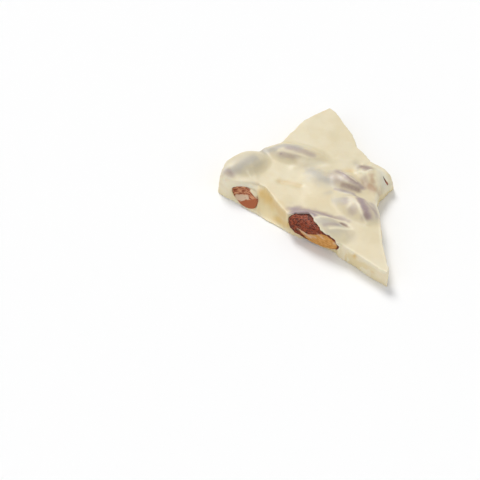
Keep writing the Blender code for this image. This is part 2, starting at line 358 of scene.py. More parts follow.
# How softly the cut meets the rest, and how much more softly up on the butt
CUT_ROUND = 0.3
BUTT_ROUND = 2.6
BUTT_ROUND_ALONG = (5, -8)
BUTT_ROUND_UP = (0, 2)

# Its cut flesh: along it, the upper and the lower edge of the cut, above its middle
FLESH = (
    (-7, -0.4, -0.5),
    (-6.1, -0.3, -1.9),
    (-4.9, -0.6, -2.8),
    (-3.3, -0.8, -3.4),
    (-2.5, -0.8, -4),
    (-0.1, 0.3, -4.4),
    (2.4, 1.8, -4),
    (4.4, 2.3, -3.6),
    (6.9, 1.7, -2.7),
    (8.2, 1, -2),
    (9.3, -0.2, -0.6),
)
FLESH_END = 9.2

# The crack over the right-hand almond, through which its skin shows: a line along its floor, how wide it
# is at each point, how high its cutter stands, and how near to it the chocolate may be stained
CRACK = (
    (27.3, 5.2, 6.25),
    (27.6, 4.4, 5.92),
    (28, 3.7, 5.3),
    (28.35, 3.25, 4.87),
    (28.7, 2.9, 4.38),
    (28.95, 2.6, 4),
)
CRACK_WIDTHS = (0.12, 0.36, 0.8, 1.1, 0.95, 0.3)
CRACK_TOP = 9
CRACK_REACH = 1


def poured(x, y):
    """Height of the slab's top with no almond under it."""
    swell = LEFT_SWELL * eased(x, *LEFT_SWELL_X)
    drop = CORNER_DROP * eased(np.hypot(x - CORNER[0], y - CORNER[1]), CORNER_REACH, 0)
    return SLAB + swell - drop + WAVE_HEIGHT * grain(points_at(x, y, 0), WAVE_LENGTH)


def ridge_height(x, y):
    """Height of the ridges, less the depth of the creases, at x, y."""
    points = points_at(x, y)
    ridges = RIDGES + FINE_RIDGES
    return sum(height * fade(path_distance(points, path), spread) for path, height, spread in ridges)


def top_height(x, y):
    """Height of the chocolate's top, with its coats over the almonds."""
    base = poured(x, y)
    offsets = [(0, 0)]
    for radius, count in SOFT_RINGS:
        turns = [2 * math.pi * k / count for k in range(count)]
        offsets += [(radius * math.cos(turn), radius * math.sin(turn)) for turn in turns]
    height = np.zeros(len(x))
    for dx, dy in offsets:
        level = base
        for almond in (FRONT, LEFT, RIGHT, *COVERED):
            level = smooth_max(level, almond.top(x + dx, y + dy), FILLET)
        height += level / len(offsets)
    return height + unevenness(points_at(x, y, 0), TOP_WAVES, TOP_SEED) + ridge_height(x, y)


def front_coat(x, y):
    """1 where the break runs over the front almond, so that the chocolate there is a thin coat."""
    return stretch(x, *COAT_X) * (y < FRONT_Y)


def shoulder(x, y):
    """1 along the soft shoulder above the left almond."""
    return stretch(x, *SHOULDER_X) * (y < SHOULDER_Y)


def rim_radius(x, y, s):
    """How far the rim is rounded at x, y and s along the break."""
    radius = RIM + unevenness(points_at(s, 0, 0), RIM_WAVES, RIM_SEED)
    radius = radius + shoulder(x, y) * (SHOULDER_RIM - radius)
    notch = eased(x, *NOTCH_X) * stretch(y, *NOTCH_Y)
    radius = radius + notch * (NOTCH_RIM - radius)
    return radius + front_coat(x, y) * (COAT_RIM - radius)


def break_stations():
    """Stations at even steps round the break, which way is out at each, and how far along it is."""
    rows = np.array(BREAK + (BREAK[0],))
    middles = (rows[:, 0:2] + rows[:, 2:4]) / 2
    lengths = np.linalg.norm(np.diff(middles, axis=0), axis=1)
    along = np.concatenate([[0], np.cumsum(lengths)])
    at = np.linspace(0, along[-1], round(along[-1] / EDGE_STEP), endpoint=False)
    stations = np.stack([np.interp(at, along, column) for column in rows.T], axis=1)
    reach = round(OUTWARD_REACH / EDGE_STEP)
    ahead = np.roll(stations[:, 2:4], -reach, axis=0) - np.roll(stations[:, 2:4], reach, axis=0)
    outward = np.stack([ahead[:, 1], -ahead[:, 0]], axis=1)
    outward /= np.linalg.norm(outward, axis=1)[:, None]
    frayed = front_coat(stations[:, 2], stations[:, 3])
    line = points_at(at, 0, 0)
    for column in (0, 2):
        jag = np.zeros(len(at))
        for length, depth in JAGS:
            jag += depth * np.array([noise.noise(Vector((s / length, column, 0))) for s in at])
        jag += unevenness(line, FINE_JAGS, JAG_SEED + column)
        if column:
            jag += frayed * unevenness(line, FRAYS, FRAY_SEED)
        stations[:, column : column + 2] += outward * jag[:, None]
    undercut = UNDERCUT * stretch(stations[:, 0], *UNDERCUT_X) * (stations[:, 1] < FRONT_Y)
    stations[:, :2] -= outward * undercut[:, None]
    return stations, outward, at


def inside(points, loop):
    """Whether each point lies inside the closed loop, by counting crossings."""
    x, y = points[:, 0], points[:, 1]
    result = np.zeros(len(points), bool)
    for (x0, y0), (x1, y1) in zip(loop, np.roll(loop, -1, axis=0)):
        if y0 != y1:
            crosses = (y0 > y) != (y1 > y)
            result ^= crosses & (x < (x1 - x0) * (y - y0) / (y1 - y0) + x0)
    return result


class Rim:
    """The top edge of the break: how far any point is from it, and how rounded it is there."""

    def __init__(self, loop, radii):
        self.loop = loop
        self.radii = radii
        self.tree = plan_tree(loop)

    def distance(self, points):
        """Distance from the rim, and the rim's radius where it is nearest."""
        count = len(self.loop)
        nearest = np.array([self.tree.find((x, y, 0))[1] for x, y in points])
        best = np.full(len(points), np.inf)
        for first in (nearest - 1, nearest):
            start, end = self.loop[first % count], self.loop[(first + 1) % count]
            run = end - start
            t = ((points - start) * run).sum(axis=1) / (run * run).sum(axis=1)
            foot = start + np.clip(t, 0, 1)[:, None] * run
            best = np.minimum(best, np.linalg.norm(points - foot, axis=1))
        return best, self.radii[nearest]

    def fall(self, points):
        """How far the rounded rim lies below the top, at points inside it."""
        away, radius = self.distance(points)
        short = np.clip(radius - away, 0, radius)
        depth = 1 - SHOULDER_EASE * shoulder(points[:, 0], points[:, 1])
        return depth * (radius - np.sqrt(radius * radius - short * short))


def top_points(outward, rim):
    """Points of the top in plan: the rim first, then its rounding, then a grid."""
    loop = rim.loop
    rounding = []
    for row in range(1, RIM_ROWS + 1):
        inset = rim.radii * (1 - math.cos(math.pi / 2 * row / RIM_ROWS))
        candidates = loop - outward * inset[:, None]
        keep = inside(candidates, loop)
        keep[keep] = rim.distance(candidates[keep])[0] > RIM_CLEARANCE * inset[keep]
        rounding.append(candidates[keep])
    fixed = np.vstack([loop, *rounding])
    low, high = loop.min(axis=0), loop.max(axis=0)
    columns = np.arange(low[0], high[0], TOP_STEP)
    lines = np.arange(low[1], high[1], TOP_STEP * math.sqrt(3) / 2)
    grid = np.array(
        [(x + (line % 2) * TOP_STEP / 2, y) for line, y in enumerate(lines) for x in columns]
    )
    grid = grid[inside(grid, loop)]
    tree = plan_tree(fixed)
    clear = [tree.find((x, y, 0))[2] > EDGE_CLEARANCE * TOP_STEP for x, y in grid]
    return np.vstack([fixed, grid[clear]])


def face_row(stations, outward, at, rim_height, share):
    """One row of the broken face, this share of the way up it: its points in plan, and their heights."""
    foot, loop = stations[:, :2], stations[:, 2:4]
    z = FOOT + (rim_height - FOOT) * share ** stations[:, 4]
    rough = FACE_ROUGHNESS * math.sin(math.pi * share)
    push = rough * grain(points_at(at / FACE_ROUGH_LENGTH, share, FACE_LAYER), 1)
    ease = min(1, FACE_GRAIN_RISE * share * (1 - share) + FACE_GRAIN_LEAST)
    push += ease * unevenness(points_at(at, z, 0), FACE_GRAINS, FACE_SEED)
    return foot + (loop - foot) * share + outward * push[:, None], z


def add_band(bm, low, high):
    """A band of faces between two closed rows of points."""
    for i in range(len(low)):
        j = (i + 1) % len(low)
        bm.faces.new((low[i], low[j], high[j], high[i]))


def slab_mesh():
    """The chocolate before its almonds: flat underside, broken faces, rounded rim and poured top."""
    stations, outward, at = break_stations()
    count = len(stations)
    foot, loop = stations[:, :2], stations[:, 2:4]
    rim = Rim(loop, rim_radius(loop[:, 0], loop[:, 1], at))
    crown_plan = top_points(outward, rim)
    heights = top_height(crown_plan[:, 0], crown_plan[:, 1]) - rim.fall(crown_plan)
    bm = bmesh.new()
    rows = [
        [bm.verts.new((*point, 0)) for point in foot - outward * FOOT_ROUND],
        [bm.verts.new((*point, FOOT_ROUND)) for point in foot],
    ]
    for row in range(SIDE_ROWS):
        plan, z = face_row(stations, outward, at, heights[:count], row / SIDE_ROWS)
        rows.append([bm.verts.new((x, y, height)) for (x, y), height in zip(plan, z)])
    crown = [bm.verts.new((x, y, z)) for (x, y), z in zip(crown_plan, heights)]
    rows.append(crown[:count])
    for low, high in zip(rows, rows[1:]):
        add_band(bm, low, high)
    flat = [Vector(point) for point in crown_plan]
    faces, origins = delaunay_2d_cdt(flat, [], [list(range(count))], 1, MERGE)[2:4]
    for face in faces:
        bm.faces.new([crown[origins[corner][0]] for corner in face])
    bm.faces.new(rows[0][::-1])
    bmesh.ops.triangulate(bm, faces=bm.faces)
    return bm, rim


def flesh_edges(along):
    """Upper and lower edge of the front almond's cut flesh, at each place along it."""
    table = np.array(FLESH)
    return np.interp(along, table[:, 0], table[:, 1]), np.interp(along, table[:, 0], table[:, 2])


def ring_places(rings):
    """Where an almond's rings lie, from -1 at the butt to 1 at the point, closer towards its ends."""
    return -np.cos(math.pi * (np.arange(rings) + 1) / (rings + 1))


def broken_lengthwise(almond, along, across, up, mouth):
    """across, held back to the almond's lengthwise break."""
    upper = flesh_edges(along)[0]
    proud = eased(along, *PROUD_ALONG) * eased(up - upper, *PROUD_EDGE)
    proud = np.maximum(proud, eased(along, *PROUD_END))
    limit = -almond.flesh_cut + BUTT_PROUD * proud + mouth
    soft = eased(along, *BUTT_ROUND_ALONG) * eased(up, *BUTT_ROUND_UP)
    return -smooth_min(-across, limit, CUT_ROUND + BUTT_ROUND * soft)


def butt_cut(almond, across, up):
    """How far along an almond the cut through its butt lies."""
    return almond.end_cut + END_CUT_LEAN * up + END_CUT_TURN * across


def almond_shape(almond, rings, sides, gap=0):
    """Along, across and up of an almond's surface as rings by sides, with its cuts made."""
    long, wide, high = (size / 2 + gap for size in (almond.length, almond.width, almond.height))
    mouth = POCKET_MOUTH if gap else 0
    t = ring_places(rings)
    angle = 2 * math.pi * np.arange(sides) / sides
    share = almond_section(t)[:, None]
    along = np.repeat(t[:, None] * long, sides, axis=1)
    across = share * wide * np.cos(angle)[None]
    up = share * high * np.sin(angle)[None]
    c, s = math.cos(almond.roll), math.sin(almond.roll)
    across, up = across * c - up * s, across * s + up * c
    if almond.flesh_cut is not None:
        up = np.where(up < 0, up * UNDERSIDE_FULLNESS, up)
        across = broken_lengthwise(almond, along, across, up, mouth)
    if almond.end_cut is not None:
        along = np.maximum(along, butt_cut(almond, across, up) - mouth)
    return along, across, up


def placed(almond, along, across, up):
    """Plan position of points given along, across and up from an almond's middle."""
    c, s = math.cos(almond.turn), math.sin(almond.turn)
    return points_at(along * c - across * s, along * s + across * c, up) + almond.centre


def closed_rings(points):
    """A closed surface through rings of points, capped by fans at its two ends."""
    bm = bmesh.new()
    rings = [[bm.verts.new(point) for point in ring] for ring in points]
    sides = len(rings[0])
    for low, high in zip(rings, rings[1:]):
        add_band(bm, low, high)
    for ring in (rings[0], rings[-1]):
        middle = sum((v.co for v in ring), Vector()) / sides
        tip = bm.verts.new(middle)
        for k in range(sides):
            bm.faces.new((tip, ring[k], ring[(k + 1) % sides]))
    bmesh.ops.triangulate(bm, faces=bm.faces)
    return bm


def crack_mesh():
    """A slit that narrows towards both ends, from above the coat down to its floor."""
    line = np.array(CRACK)[:, :2]
    floor = [z for x, y, z in CRACK]
    ahead = np.gradient(line, axis=0)
    side = np.stack([-ahead[:, 1], ahead[:, 0]], axis=1)
    side /= np.linalg.norm(side, axis=1)[:, None]
    spread = side * (np.array(CRACK_WIDTHS) / 2)[:, None]
    outline = np.vstack([line + spread, (line - spread)[::-1]])
    bm = bmesh.new()
    low = [bm.verts.new((x, y, z)) for (x, y), z in zip(outline, floor + floor[::-1])]
    high = [bm.verts.new((x, y, CRACK_TOP)) for x, y in outline]
    add_band(bm, low, high)
    bm.faces.new(low[::-1])
    bm.faces.new(high)
    bmesh.ops.triangulate(bm, faces=bm.faces)
    return bm


def face_outwards(bm):
    """Turns every face of a closed bmesh to face out of it."""
    bmesh.ops.recalc_face_normals(bm, faces=bm.faces)
    if bm.calc_volume(signed=True) < 0:
        bmesh.ops.reverse_faces(bm, faces=bm.faces)


def new_object(name, bm):
    """The bmesh, in millimetres of the plan, as an object in metres about the origin."""
    face_outwards(bm)
    bmesh.ops.translate(bm, vec=(-MIDDLE[0], -MIDDLE[1], 0), verts=bm.verts)
    bmesh.ops.scale(bm, vec=(MM, MM, MM), verts=bm.verts)
    mesh = bpy.data.meshes.new(name)
    bm.to_mesh(mesh)
    bm.free()
    made = bpy.data.objects.new(name, mesh)
    bpy.context.scene.collection.objects.link(made)
    return made


def plan_points(made):
    """An object's points, in millimetres of the plan."""
    co = np.zeros(len(made.data.vertices) * 3)
    made.data.vertices.foreach_get("co", co)
    return co.reshape(-1, 3) / MM + np.array([*MIDDLE, 0])


def add_mask(made, name, values):
    """Keeps a number with each of the object's points, for its material to read."""
    mask = made.data.attributes.new(name, "FLOAT", "POINT")
    mask.data.foreach_set("value", values.astype(np.float32))


def finish_mesh(made, material):
    """Smooth shading with sharp edges where the surface turns sharply, and the object's material."""
    made.data.shade_smooth()
    made.data.set_sharp_from_angle(angle=math.radians(SHARP_ANGLE))
    made.data.materials.clear()
    made.data.materials.append(material)


# Where the coat is thin, the almond under it shows as grey, mauve or a warmer tint, and elsewhere the
# chocolate is yellower or paler. Some patches are painted light and shade instead: pale ones light slopes
# that face away from the lamps, and one paints a highlight along a rim; yellow ones paint shade under the
# scooped face's rim, and one dark, one grey and one warm patch paint shade in a crease and on a flank that
# faces the lamp. Each patch is a path, its half-width, its strength, and the almond whose outline it keeps
# within, if any.
GREY_AND_PAINTED_SHADE = (
    (((-28.2, 4.8, 7.8), (-24.8, 6.4, 9), (-21.5, 9.4, 9.7), (-18.4, 11.6, 9.5)), 2.7, 0.88, TOP_LEFT),
    (((-24.5, 9.8, 9.7), (-20.5, 11.8, 9.8), (-18.4, 12.6, 9.4)), 2.8, 0.45, TOP_LEFT),
    (((1.9, 8, 6.9), (5.6, 3.2, 7.2), (9.4, 1.7, 7.1)), 2.8, 0.9),
    (((2.6, 9.4, 6.7), (3.2, 5.4, 7.3)), 1.6, 0.5),
    (((3, -22, 9.1), (8, -21.8, 8.6), (11, -22.3, 7.4)), 2.8, 0.8, FRONT),
    (((7.1, -26.2, 8.3), (10.8, -25.4, 7.5)), 2, 0.5, FRONT),
    (((8.6, -8.4, 6.9), (13.1, -9.2, 8.1)), 2.4, 0.75, LOW_RIGHT),
    (((11.7, -2.7, 6.5), (13.7, -3.8, 6.7), (16.1, -5.2, 6.7), (18.7, -8.8, 7.8)), 0.8, 0.7),
    (((7.1, -4.1, 6.5), (8.1, -3.6, 6.5)), 1.2, 0.45),
    (((18.1, 12, 6.5), (18.6, 8.1, 6.8)), 1.2, 0.4),
    (
        ((-15.4, 19.9, 6.5), (-13.3, 18.8, 6.9), (-10.8, 18.7, 8.3), (-8.3, 19.6, 8.8), (-3, 18.3, 8.9)),
        1.9, 0.95,
    ),
    # Painted shade: it dims the back flank of the middle right almond, which faces the lamp
    (((9.2, 4.8, 7.3), (10.4, 2.8, 7.6), (12, 0.8, 7.9)), 2.3, 0.8),
    (((22.6, -11.6, 8.1), (23.2, -15, 8.3), (24, -18, 7.5)), 1.6, 0.6),
    (((12.5, -23.5, 6.5), (14, -27, 6.4)), 2.2, 0.4),
)
MAUVE = (
    (((20.2, 10, 6.9), (22.1, 7.9, 7.9)), 1.3, 0.5),
    (((-28, 5.3, 8.1), (-27.5, 4.5, 7.9), (-26.9, 4, 7.7)), 1.4, 0.95),
    (((-6, 18, 9.2), (-3.3, 17, 9.3), (-0.6, 16, 9.1), (2.2, 14.7, 8.6)), 1.5, 0.55, TOP_BACK),
    (((-8.6, 15.5, 8.2), (-5.5, 14.4, 8.4), (-2.7, 13.4, 8.3)), 1.4, 0.5, TOP_BACK),
    (((-8.8, 15.8, 8.1), (-8.5, 15.6, 8.2)), 0.6, 0.82, TOP_BACK),
    (((11.4, 7.3, 7), (13.6, 3.3, 8.5), (16, 0.6, 8.5), (19.4, -1.6, 7.1)), 1.5, 0.8),
    (((10.2, 3.6, 7.5), (11.4, 1.6, 7.8)), 1.6, 0.25),
    (
        (
            (10, -1.9, 6.45), (13.7, -3.6, 6.7), (16.1, -4.9, 6.7), (18.7, -8.4, 7.85),
            (20.8, -12.5, 8.65), (22.7, -15.4, 8.4), (24.6, -18.7, 7.2),
        ),
        0.55, 0.61,
    ),
    (((-5.4, -14.9, 7), (-2, -16, 8.2), (0.3, -16.6, 8.5), (1.8, -18.8, 9)), 1.7, 1),
    (((13.6, -9.6, 8.3), (14.4, -12, 8.7), (15.4, -15.2, 8.2)), 1.9, 0.49, LOW_RIGHT),
    (((18.2, -9.6, 8.5), (19.4, -14, 9), (20.4, -18.2, 8.2)), 1.9, 0.95),
    (((22.6, -11.6, 8.1), (23.2, -15, 8.3), (24, -18, 7.5)), 1.4, 0.3, LOW_RIGHT),
    (((-4.8, -12.8, 6.7), (-1.8, -13.9, 7.3), (0.9, -15, 7.9)), 2.3, 0.95),
    (((0.9, -15, 7.9), (4.2, -16.2, 7.9), (7, -17, 7.4)), 2.1, 0.95),
    (((7, -17, 7.4), (11, -17.6, 6.5), (13.4, -19.2, 6.5)), 1.3, 0.66),
    (((11.5, -20.7, 6.6), (12.9, -21.5, 6.4)), 1, 0.9),
    (((5.4, -23.6, 9), (10, -22.4, 8)), 0.8, 0.49, FRONT),
    (((20.3, 2.6, 6.9), (20.6, 0.4, 6.5)), 1.4, 0.41),
)
DARK_AND_PAINTED_SHADE = (
    # Painted shade in part: the crease in front of the middle right almond, over its thin coat
    (((12.9, -1.1, 7.7), (14.5, -1.8, 7.8), (16.2, -2.6, 7.6), (17.9, -3.3, 7.3)), 1.15, 0.9),
    (((19.8, -17.8, 8.4), (20.1, -18.6, 8.1)), 0.8, 0.6),
    (((20.2, 10, 6.9), (20.9, 9, 7.5), (22.1, 7.9, 7.9)), 1.5, 0.9),
    (((-27.6, 4.6, 7.9), (-27.2, 4.2, 7.8)), 1.3, 0.95),
    (((11.5, -20.7, 6.6), (12.2, -21, 6.5), (12.8, -21.4, 6.4)), 0.85, 1),
    (((14.4, 2.2, 8.5), (17.6, -0.4, 8)), 0.8, 0.5),
)
WARM_AND_PAINTED_SHADE = (
    # Painted shade, with the grey patch on the same flank that faces the lamp
    (((9.2, 4.8, 7.3), (10.4, 2.8, 7.6), (12, 0.8, 7.9)), 2, 0.36),
    (((20.4, 3.2, 7.2), (20.9, -1.3, 6.4)), 1.6, 0.4),
    (((23.1, 4, 8), (23.3, 1, 7.3)), 1.2, 0.85),
    (((22.4, -0.6, 6.5), (23.4, -1.9, 6.4)), 1.7, 1.2),
    (((26, -2.4, 5.6), (26.5, -3.4, 5)), 1, 0.8),
    (((12.9, -22, 6.4), (13.8, -22, 6.4)), 0.6, 0.4),
)
YELLOW_AND_PAINTED_SHADE = (
    (((-14, -2, 6.3), (-4, -4, 6.2), (4, -8, 6.3)), 6, 0.12),
    (((14, -26, 6.3), (20, -34, 6.3)), 4, 0.1),
    (((-9.5, 2.7, 6.2), (-5.7, 1.8, 6.1), (-2.3, 0.1, 6.1)), 1.3, 0.35),
    (((14.3, 8, 6.5), (16.5, 8.2, 6.3)), 1.3, 0.4),
    # Painted shade, yellower, in a band just under the rim of the scooped face
    (
        (
            (-18, 0.2, 5.6), (-15.7, -2.2, 4.6), (-12.4, -6.4, 4.8),
            (-10, -10.5, 5), (-8.2, -13.8, 4.8),
        ),
        2, 0.9,
    ),
    (((15.1, -34.8, 4.8), (15.1, -35.5, 5.3)), 0.95, 0.95),
    (((20.6, -40.9, 3), (21.4, -41, 3)), 0.5, 1),
    # Painted shade on the lower part of the scooped face
    (((-11, -12.6, 2.2), (-9.4, -14.6, 2), (-7.4, -16.6, 2.6)), 1.6, 0.9),
)
PALE_AND_PAINTED_LIGHT = (
    (((-9.6, 17.3, 8.6), (-7.3, 16.5, 9), (-3.7, 14.9, 9), (-0.2, 13.6, 8.7)), 0.5, 0.5),
    (((14.6, -7.6, 8), (15.2, -11.4, 8.9), (13.6, -13.6, 8.4)), 0.95, 0.55),
    (((15.9, -8, 8), (17.4, -13.6, 9), (18.5, -18, 8.4), (19.6, -20.6, 7.2)), 0.45, 0.7),
    (
        ((2.6, -19.9, 9.1), (7.5, -18.6, 7.9), (10, -18.6, 6.9), (12.7, -19.4, 6.4), (14.9, -22.6, 6.5)),
        0.6, 0.55,
    ),
    (((7.2, -25.1, 8.7), (11, -24, 7.7), (14.9, -23, 6.5)), 0.6, 0.7),
    (((-20.7, 5.7, 8.2), (-19.6, 4, 7.1), (-18.8, 2.1, 6.8)), 0.6, 0.6),
    (((12.2, 7.4, 7.2), (14.6, 3.6, 8.6), (17.6, 0.4, 8.2)), 0.4, 0.5),
    (((17.8, 6.8, 6.6), (19.5, 6.6, 7.4), (21.2, 5.5, 7.9), (23, 6.7, 8)), 0.7, 0.6),
    (((24.6, 2.8, 7.6), (25.5, -0.2, 6.4), (26.1, -2.7, 5.3)), 0.8, 0.5),
    (
        (
            (-29.1, 1.9, 0.6), (-23.4, -3.1, 0.5), (-17.2, -8.5, 0.5),
            (-10.7, -14.3, 0.5), (-6.8, -17.5, 0.5),
        ),
        0.7, 0.6,
    ),
    # Painted light on the soft shoulder above the left almond, which faces away from the lamps
    (
        ((-29.6, 3.6, 6), (-28.6, 2.6, 5), (-25.9, 1.4, 6.4), (-22, 1, 6.4), (-18, 0.4, 6.2)),
        2.6, 1,
    ),
    # Painted light on the lower face at the left end
    (((-30.2, 4, 3), (-28.4, 1.8, 2.4)), 2.4, 0.8),
    # Painted light on the nub, which faces away from the lamps
    (((27.6, 0.4, 4.4), (30.2, 3.6, 3.4)), 1.8, 0.8),
    # Painted light over the right-hand corner, which falls away from the lamps
    (((27, 7.8, 6.3), (28.2, 4.6, 5.6), (27.8, 1.2, 5.2)), 2, 1),
    # Painted light round the notch, which faces away from the lamps
    (((24.6, -5, 5.8), (24.3, -6.6, 6)), 1.2, 0.9),
    # Painted light on the bump beside the right-hand corner
    (((25.6, 6.8, 7.6), (25.4, 0.6, 6.8)), 1.2, 0.6),
    # A painted highlight along the rim of the scooped face
    (((-12.7, -4.4, 6.3), (-10.6, -8.6, 6.3), (-8.7, -12, 6.6)), 0.8, 0.45),
    (((22, -41.8, 3), (24.6, -44, 3)), 2.6, 0.6),
    # Painted light on the lower flank of the back almond's cover
    (((-2, 12.2, 7.6), (2.5, 11.8, 7.4), (7, 11.4, 6.9)), 1.5, 0.8),
)

# How unevenly the patches fade, and over what length
PATCH_NOISE = 0.45
PATCH_LENGTH = 2.2

# Where a patch over an almond ends and where it is whole, as shares of the way to its outline
WITHIN = (1.06, 0.68)

# The thin coats, with some painted shade among their patches: their patches, seed and crispness, and how
# far pale chocolate and painted light hide them
THIN_COATS = (
    ("grey", GREY_AND_PAINTED_SHADE, 42, 2, 0.8),
    ("mauve", MAUVE, 43, 2.6, 0.8),
    ("dark", DARK_AND_PAINTED_SHADE, 44, 2.8, 0),
    ("warm", WARM_AND_PAINTED_SHADE, 45, 2, 0.8),
)

# How far below the top the broken face starts, and how far down the crack is stained
FACE_BELOW = (0.1, 0.5)
STAIN_BELOW = (0.02, 0.4)

# The coat's own broken edge over the front almond lies above this height
COAT_LOW = 5.5

# The painted highlight along the rim of the broken edge: how far in and down, along which stretch, how
# bright there and how much brighter further on, and past where a yellow speck hides it
EDGE_REACH = 0.7
EDGE_BELOW = (2.2, 0.4)
EDGE_Y = (-4, -8)
EDGE_X = (5, 12)
RIM_HIGHLIGHT = 0.4
RIM_HIGHLIGHT_MORE = 0.5
SPECK_X = 5

# The coat's ragged pale end over the front almond: how far in, from where, how pale, and how uneven
RAGGED_REACH = 0.4
RAGGED_X = (0, 1.4)
RAGGED_PALE = 0.6
RAGGED_NOISE = 0.6
RAGGED_LENGTH = 0.6


def patch_mask(points, patches, seed, crisp=2):
    """How strongly the patches colour each point. A higher crisp gives sharper edges."""
    uneven = 1 + PATCH_NOISE * grain(points, PATCH_LENGTH, seed)
    total = np.zeros(len(points))
    for path, spread, strength, *within in patches:
        amount = strength * fade(path_distance(points, path), spread * uneven, crisp)
        for almond in within:
            amount *= eased(almond.cover(points[:, 0], points[:, 1])[1], *WITHIN)
        total = np.maximum(total, amount)
    return total


def rim_highlight_and_ragged_coat(points, away, below, yellow):
    """How strongly each point takes the painted highlight along the rim of the slab's broken edge, and how
    pale the coat's ragged end is.
    """
    x, y = points[:, 0], points[:, 1]
    coat = front_coat(x, y)
    # edge is a painted highlight along the rim, brighter towards the front right
    edge = fade(away, EDGE_REACH) * eased(below, *EDGE_BELOW) * (1 - coat)
    edge *= eased(y, *EDGE_Y) * (RIM_HIGHLIGHT + RIM_HIGHLIGHT_MORE * eased(x, *EDGE_X))
    edge *= 1 - np.minimum(yellow, 1) * (x > SPECK_X)
    ragged = coat * fade(away, RAGGED_REACH) * eased(x, *RAGGED_X)
    ragged *= RAGGED_PALE + RAGGED_NOISE * grain(points, RAGGED_LENGTH, RAGGED_SEED)
    return np.maximum(edge, ragged)


def colour_slab(slab, rim):
    """Marks the slab's points with what colours them."""
    points = plan_points(slab)
    plan = points[:, :2]
    x, y, z = points.T
    top = top_height(x, y) - rim.fall(plan)
    below = np.where(inside(plan, rim.loop), top - z, 1)
    # The face mask also lifts the broken faces' colour, partly as painted light
    face = eased(below, *FACE_BELOW) * (1 - front_coat(x, y) * (z > COAT_LOW))
    add_mask(slab, "face", face)
    pale = patch_mask(points, PALE_AND_PAINTED_LIGHT, PALE_SEED)
    for name, patches, seed, crisp, hidden in THIN_COATS:
        coat = patch_mask(points, patches, seed, crisp)
        add_mask(slab, name, coat * (1 - hidden * pale) * (1 - face))
    yellow = patch_mask(points, YELLOW_AND_PAINTED_SHADE, YELLOW_SEED)
    add_mask(slab, "yellow", yellow)
    away = rim.distance(plan)[0]
    # The pale mask also takes the painted highlight along the rim
    add_mask(slab, "pale", np.maximum(pale, rim_highlight_and_ragged_coat(points, away, below, yellow)))
    in_crack = path_distance(points, CRACK) < CRACK_REACH
    add_mask(slab, "stain", in_crack * eased(below, *STAIN_BELOW))


# An almond's skin: wrinkles of each length and depth, drawn out along it, or along the arch of a broken
# butt, and how its broken flesh lies
SKIN_STRETCH = 1.7
ARCH_BEND = 0.045
ARCH_STRETCH = 2.4
ARCH_STREAKS = 1.9
WRINKLES = ((1, 0.15), (0.5, 0.09))
FURROW = 2.2
LUMP_LENGTH = 0.8
LUMP_DEPTH = 0.05
FLESH_SINK = 0.05

# How near a cut a point lies to show what was broken, and how softly a colour there meets the next
ON_CUT = (0.35, 0.1)
MEETING = 0.25

# The flesh: how uneven its edges are, and its pale marks, each a path along and up, its strength and its
# half-width, with how far in from the cut they reach
FLESH_WOBBLE = (0.9, 0.18)
FLESH_FADE = 0.5
PALE_REACH = 0.6
FLESH_MARKS = (
    (((-6.4, -0.6), (-4.7, -1.4), (-3.2, -1.7), (-1.9, -1.8)), 0.9, 0.6),
    (((1.3, 0.9), (2.3, 0.7), (3.2, 0.3)), 0.6, 0.45),
    (((7.7, 0.3), (8.6, 1)), 0.6, 0.45),
    (((-1.4, -1.2), (0.2, -1)), 0.6, 0.45),
)

# The left almond's butt, across and up: the seam above its ruddy part, its pale patch, and how uneven
# both are
SEAM_X = (-5.8, -4.2, -3.7, -1.9, -0.5, 0.6, 1.5, 4)
SEAM_Y = (1.3, 1.2, 0.8, 0.05, -0.3, -0.9, -1.7, -4)
SEAM_FADE = (-0.1, 0.1)
BUTT_PALE = ((3.2, -1), (2.2, -0.75), (1.1, -0.45), (-0.7, 0.15))
BUTT_PALE_REACH = (0.95, 0.6)
BUTT_WOBBLE = (1, 0.25)

# The chocolate smeared over its upper right edge: where it starts, and how ragged it is
SMEAR_TOP = 2.6
SMEAR_SLOPE = 0.4
SMEAR_RIGHT = -0.3
SMEAR_WOBBLE = (0.9, 0.35)


def flesh_marks(almond, along, across, up):
    """Where flesh shows on an almond broken lengthwise, and where that is pale."""
    upper, lower = flesh_edges(along)
    wobble = unevenness(points_at(along, up, across), (FLESH_WOBBLE,), FLESH_SEED)
    flesh = eased(across - almond.flesh_cut, *ON_CUT)
    flesh = flesh * eased(along - FLESH[0][0], 0, FLESH_FADE)
    flesh = flesh * eased(FLESH_END - along, 0, FLESH_FADE)
    flesh = flesh * eased(upper - up + wobble, 0, MEETING)
    flesh = flesh * eased(up - lower + wobble, 0, MEETING)
    pale = np.zeros(along.shape)
    for path, strength, spread in FLESH_MARKS:
        mark = strength * fade(path_distance(points_at(along, up), path), spread)
        pale = np.maximum(pale, mark)
    return {"flesh": flesh, "pale": pale * (across < almond.flesh_cut + PALE_REACH)}


def butt_marks(almond, along, across, up):
    """The ruddy and pale parts of a butt that is cut through, and the chocolate smeared over its edge."""
    on_cut = eased(along - butt_cut(almond, across, up), *ON_CUT)
    wobble = unevenness(points_at(across, up, 0), (BUTT_WOBBLE,), BUTT_SEED)
    seam = np.interp(across, SEAM_X, SEAM_Y)
    ruddy = on_cut * eased(seam - up + wobble, *SEAM_FADE)
    patch = path_distance(points_at(across, up), BUTT_PALE)
    pale = on_cut * (1 - ruddy) * eased(patch + wobble, *BUTT_PALE_REACH)
    ragged = unevenness(points_at(across, up, along), (SMEAR_WOBBLE,), SMEAR_SEED)
    corner = np.minimum(up - SMEAR_TOP - SMEAR_SLOPE * across, SMEAR_RIGHT - across)
    return {"ruddy": ruddy, "pale": pale, "smear": eased(corner + ragged, 0, MEETING)}


